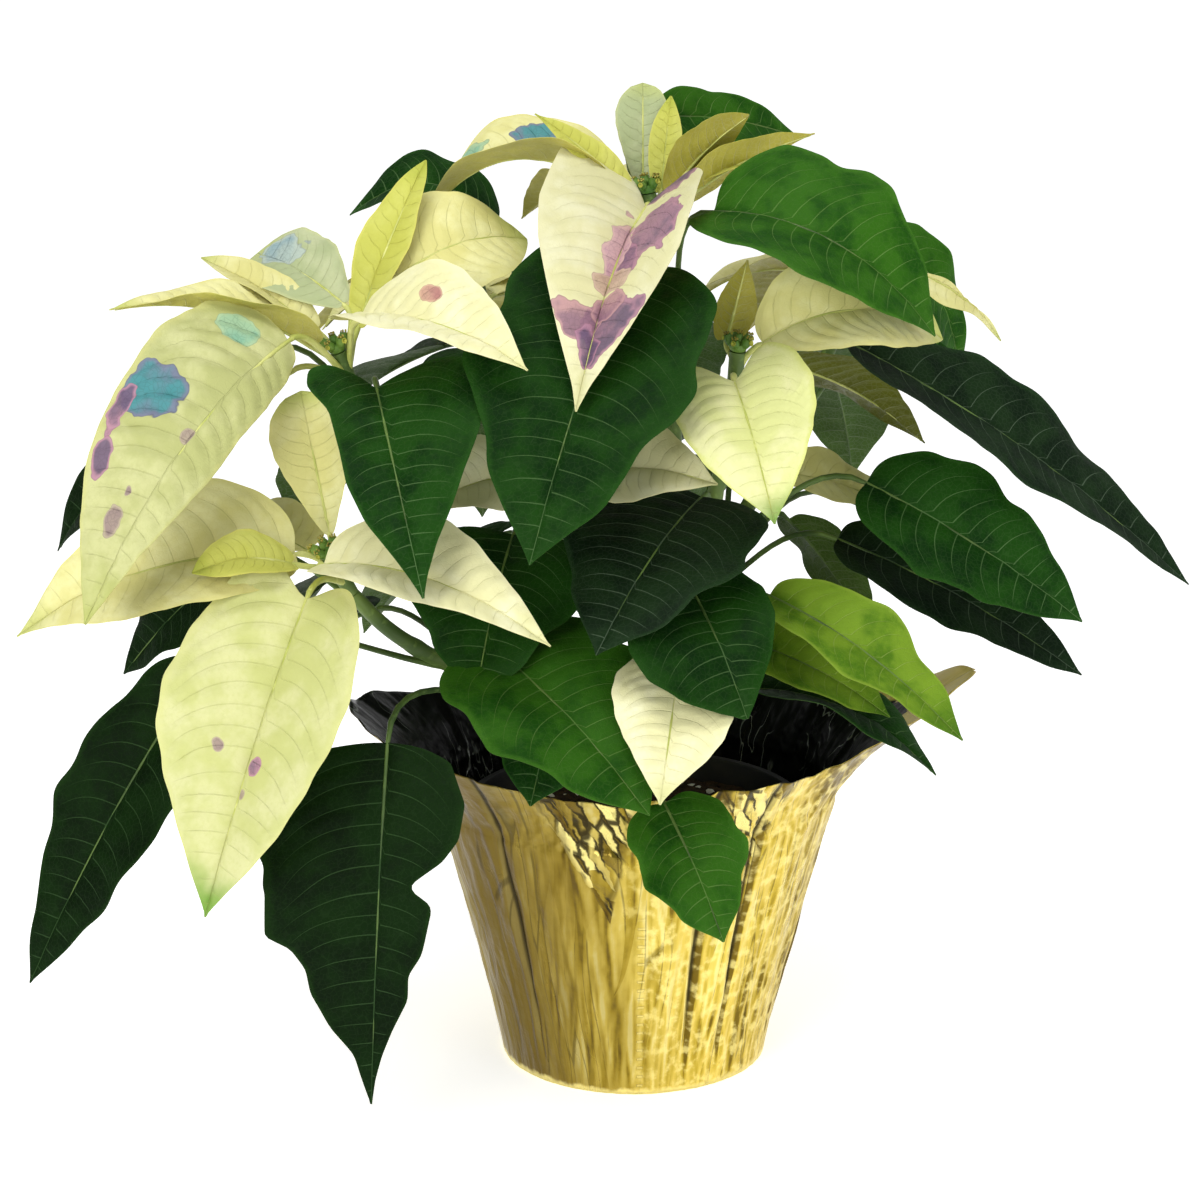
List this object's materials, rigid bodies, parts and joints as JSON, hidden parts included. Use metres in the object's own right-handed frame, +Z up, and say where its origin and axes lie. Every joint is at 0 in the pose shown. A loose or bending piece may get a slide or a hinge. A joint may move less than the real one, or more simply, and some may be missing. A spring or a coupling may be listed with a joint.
{
  "type": "potted poinsettia",
  "caption": "Bushy poinsettia with pale cream bracts and dark green leaves, in a plastic nursery pot wrapped in pleated gold foil.",
  "frame": {"origin": "centre of the flat round foot of the foil wrap, on the surface that it stands on", "axes": "+Z up; the front of the plant and the low stretch of the foil's rim face -Y; +X to the right seen from the front"},
  "size_m": [0.5042, 0.3383, 0.4332],
  "materials": {
    "foil": "thin gold foil, glossy, creased and pleated",
    "pot": "thin black plastic",
    "soil": "loose dark potting soil",
    "bark": "green-brown woody stem",
    "leaf": "smooth dark green leaf, satin",
    "bract": "soft cream bract with raised quilting between veins",
    "flower": "small yellow-green buds"
  },
  "bodies": {
    "root": {"foil_wrap": "foil", "nursery_pot": "pot", "soil": "soil", "trunk": "bark", "leafy_stem_top": "leaf", "leafy_stem_left": "leaf", "leafy_stem_right": "leaf", "leafy_stem_lower_left": "leaf", "leafy_stem_centre": "leaf", "leafy_stem_low": "leaf", "leafy_stem_back_left": "leaf", "leafy_stem_back_right": "leaf", "bract_head_top": "bract", "bract_head_left": "bract", "bract_head_right": "bract", "bract_head_lower_left": "bract", "bract_head_centre": "bract", "bract_head_low": "bract", "bract_head_back_left": "bract", "bract_head_back_right": "bract", "flowers_top": "flower", "flowers_left": "flower", "flowers_right": "flower", "flowers_lower_left": "flower", "flowers_centre": "flower", "flowers_low": "flower", "flowers_back_left": "flower", "flowers_back_right": "flower"}
  },
  "joints": []
}
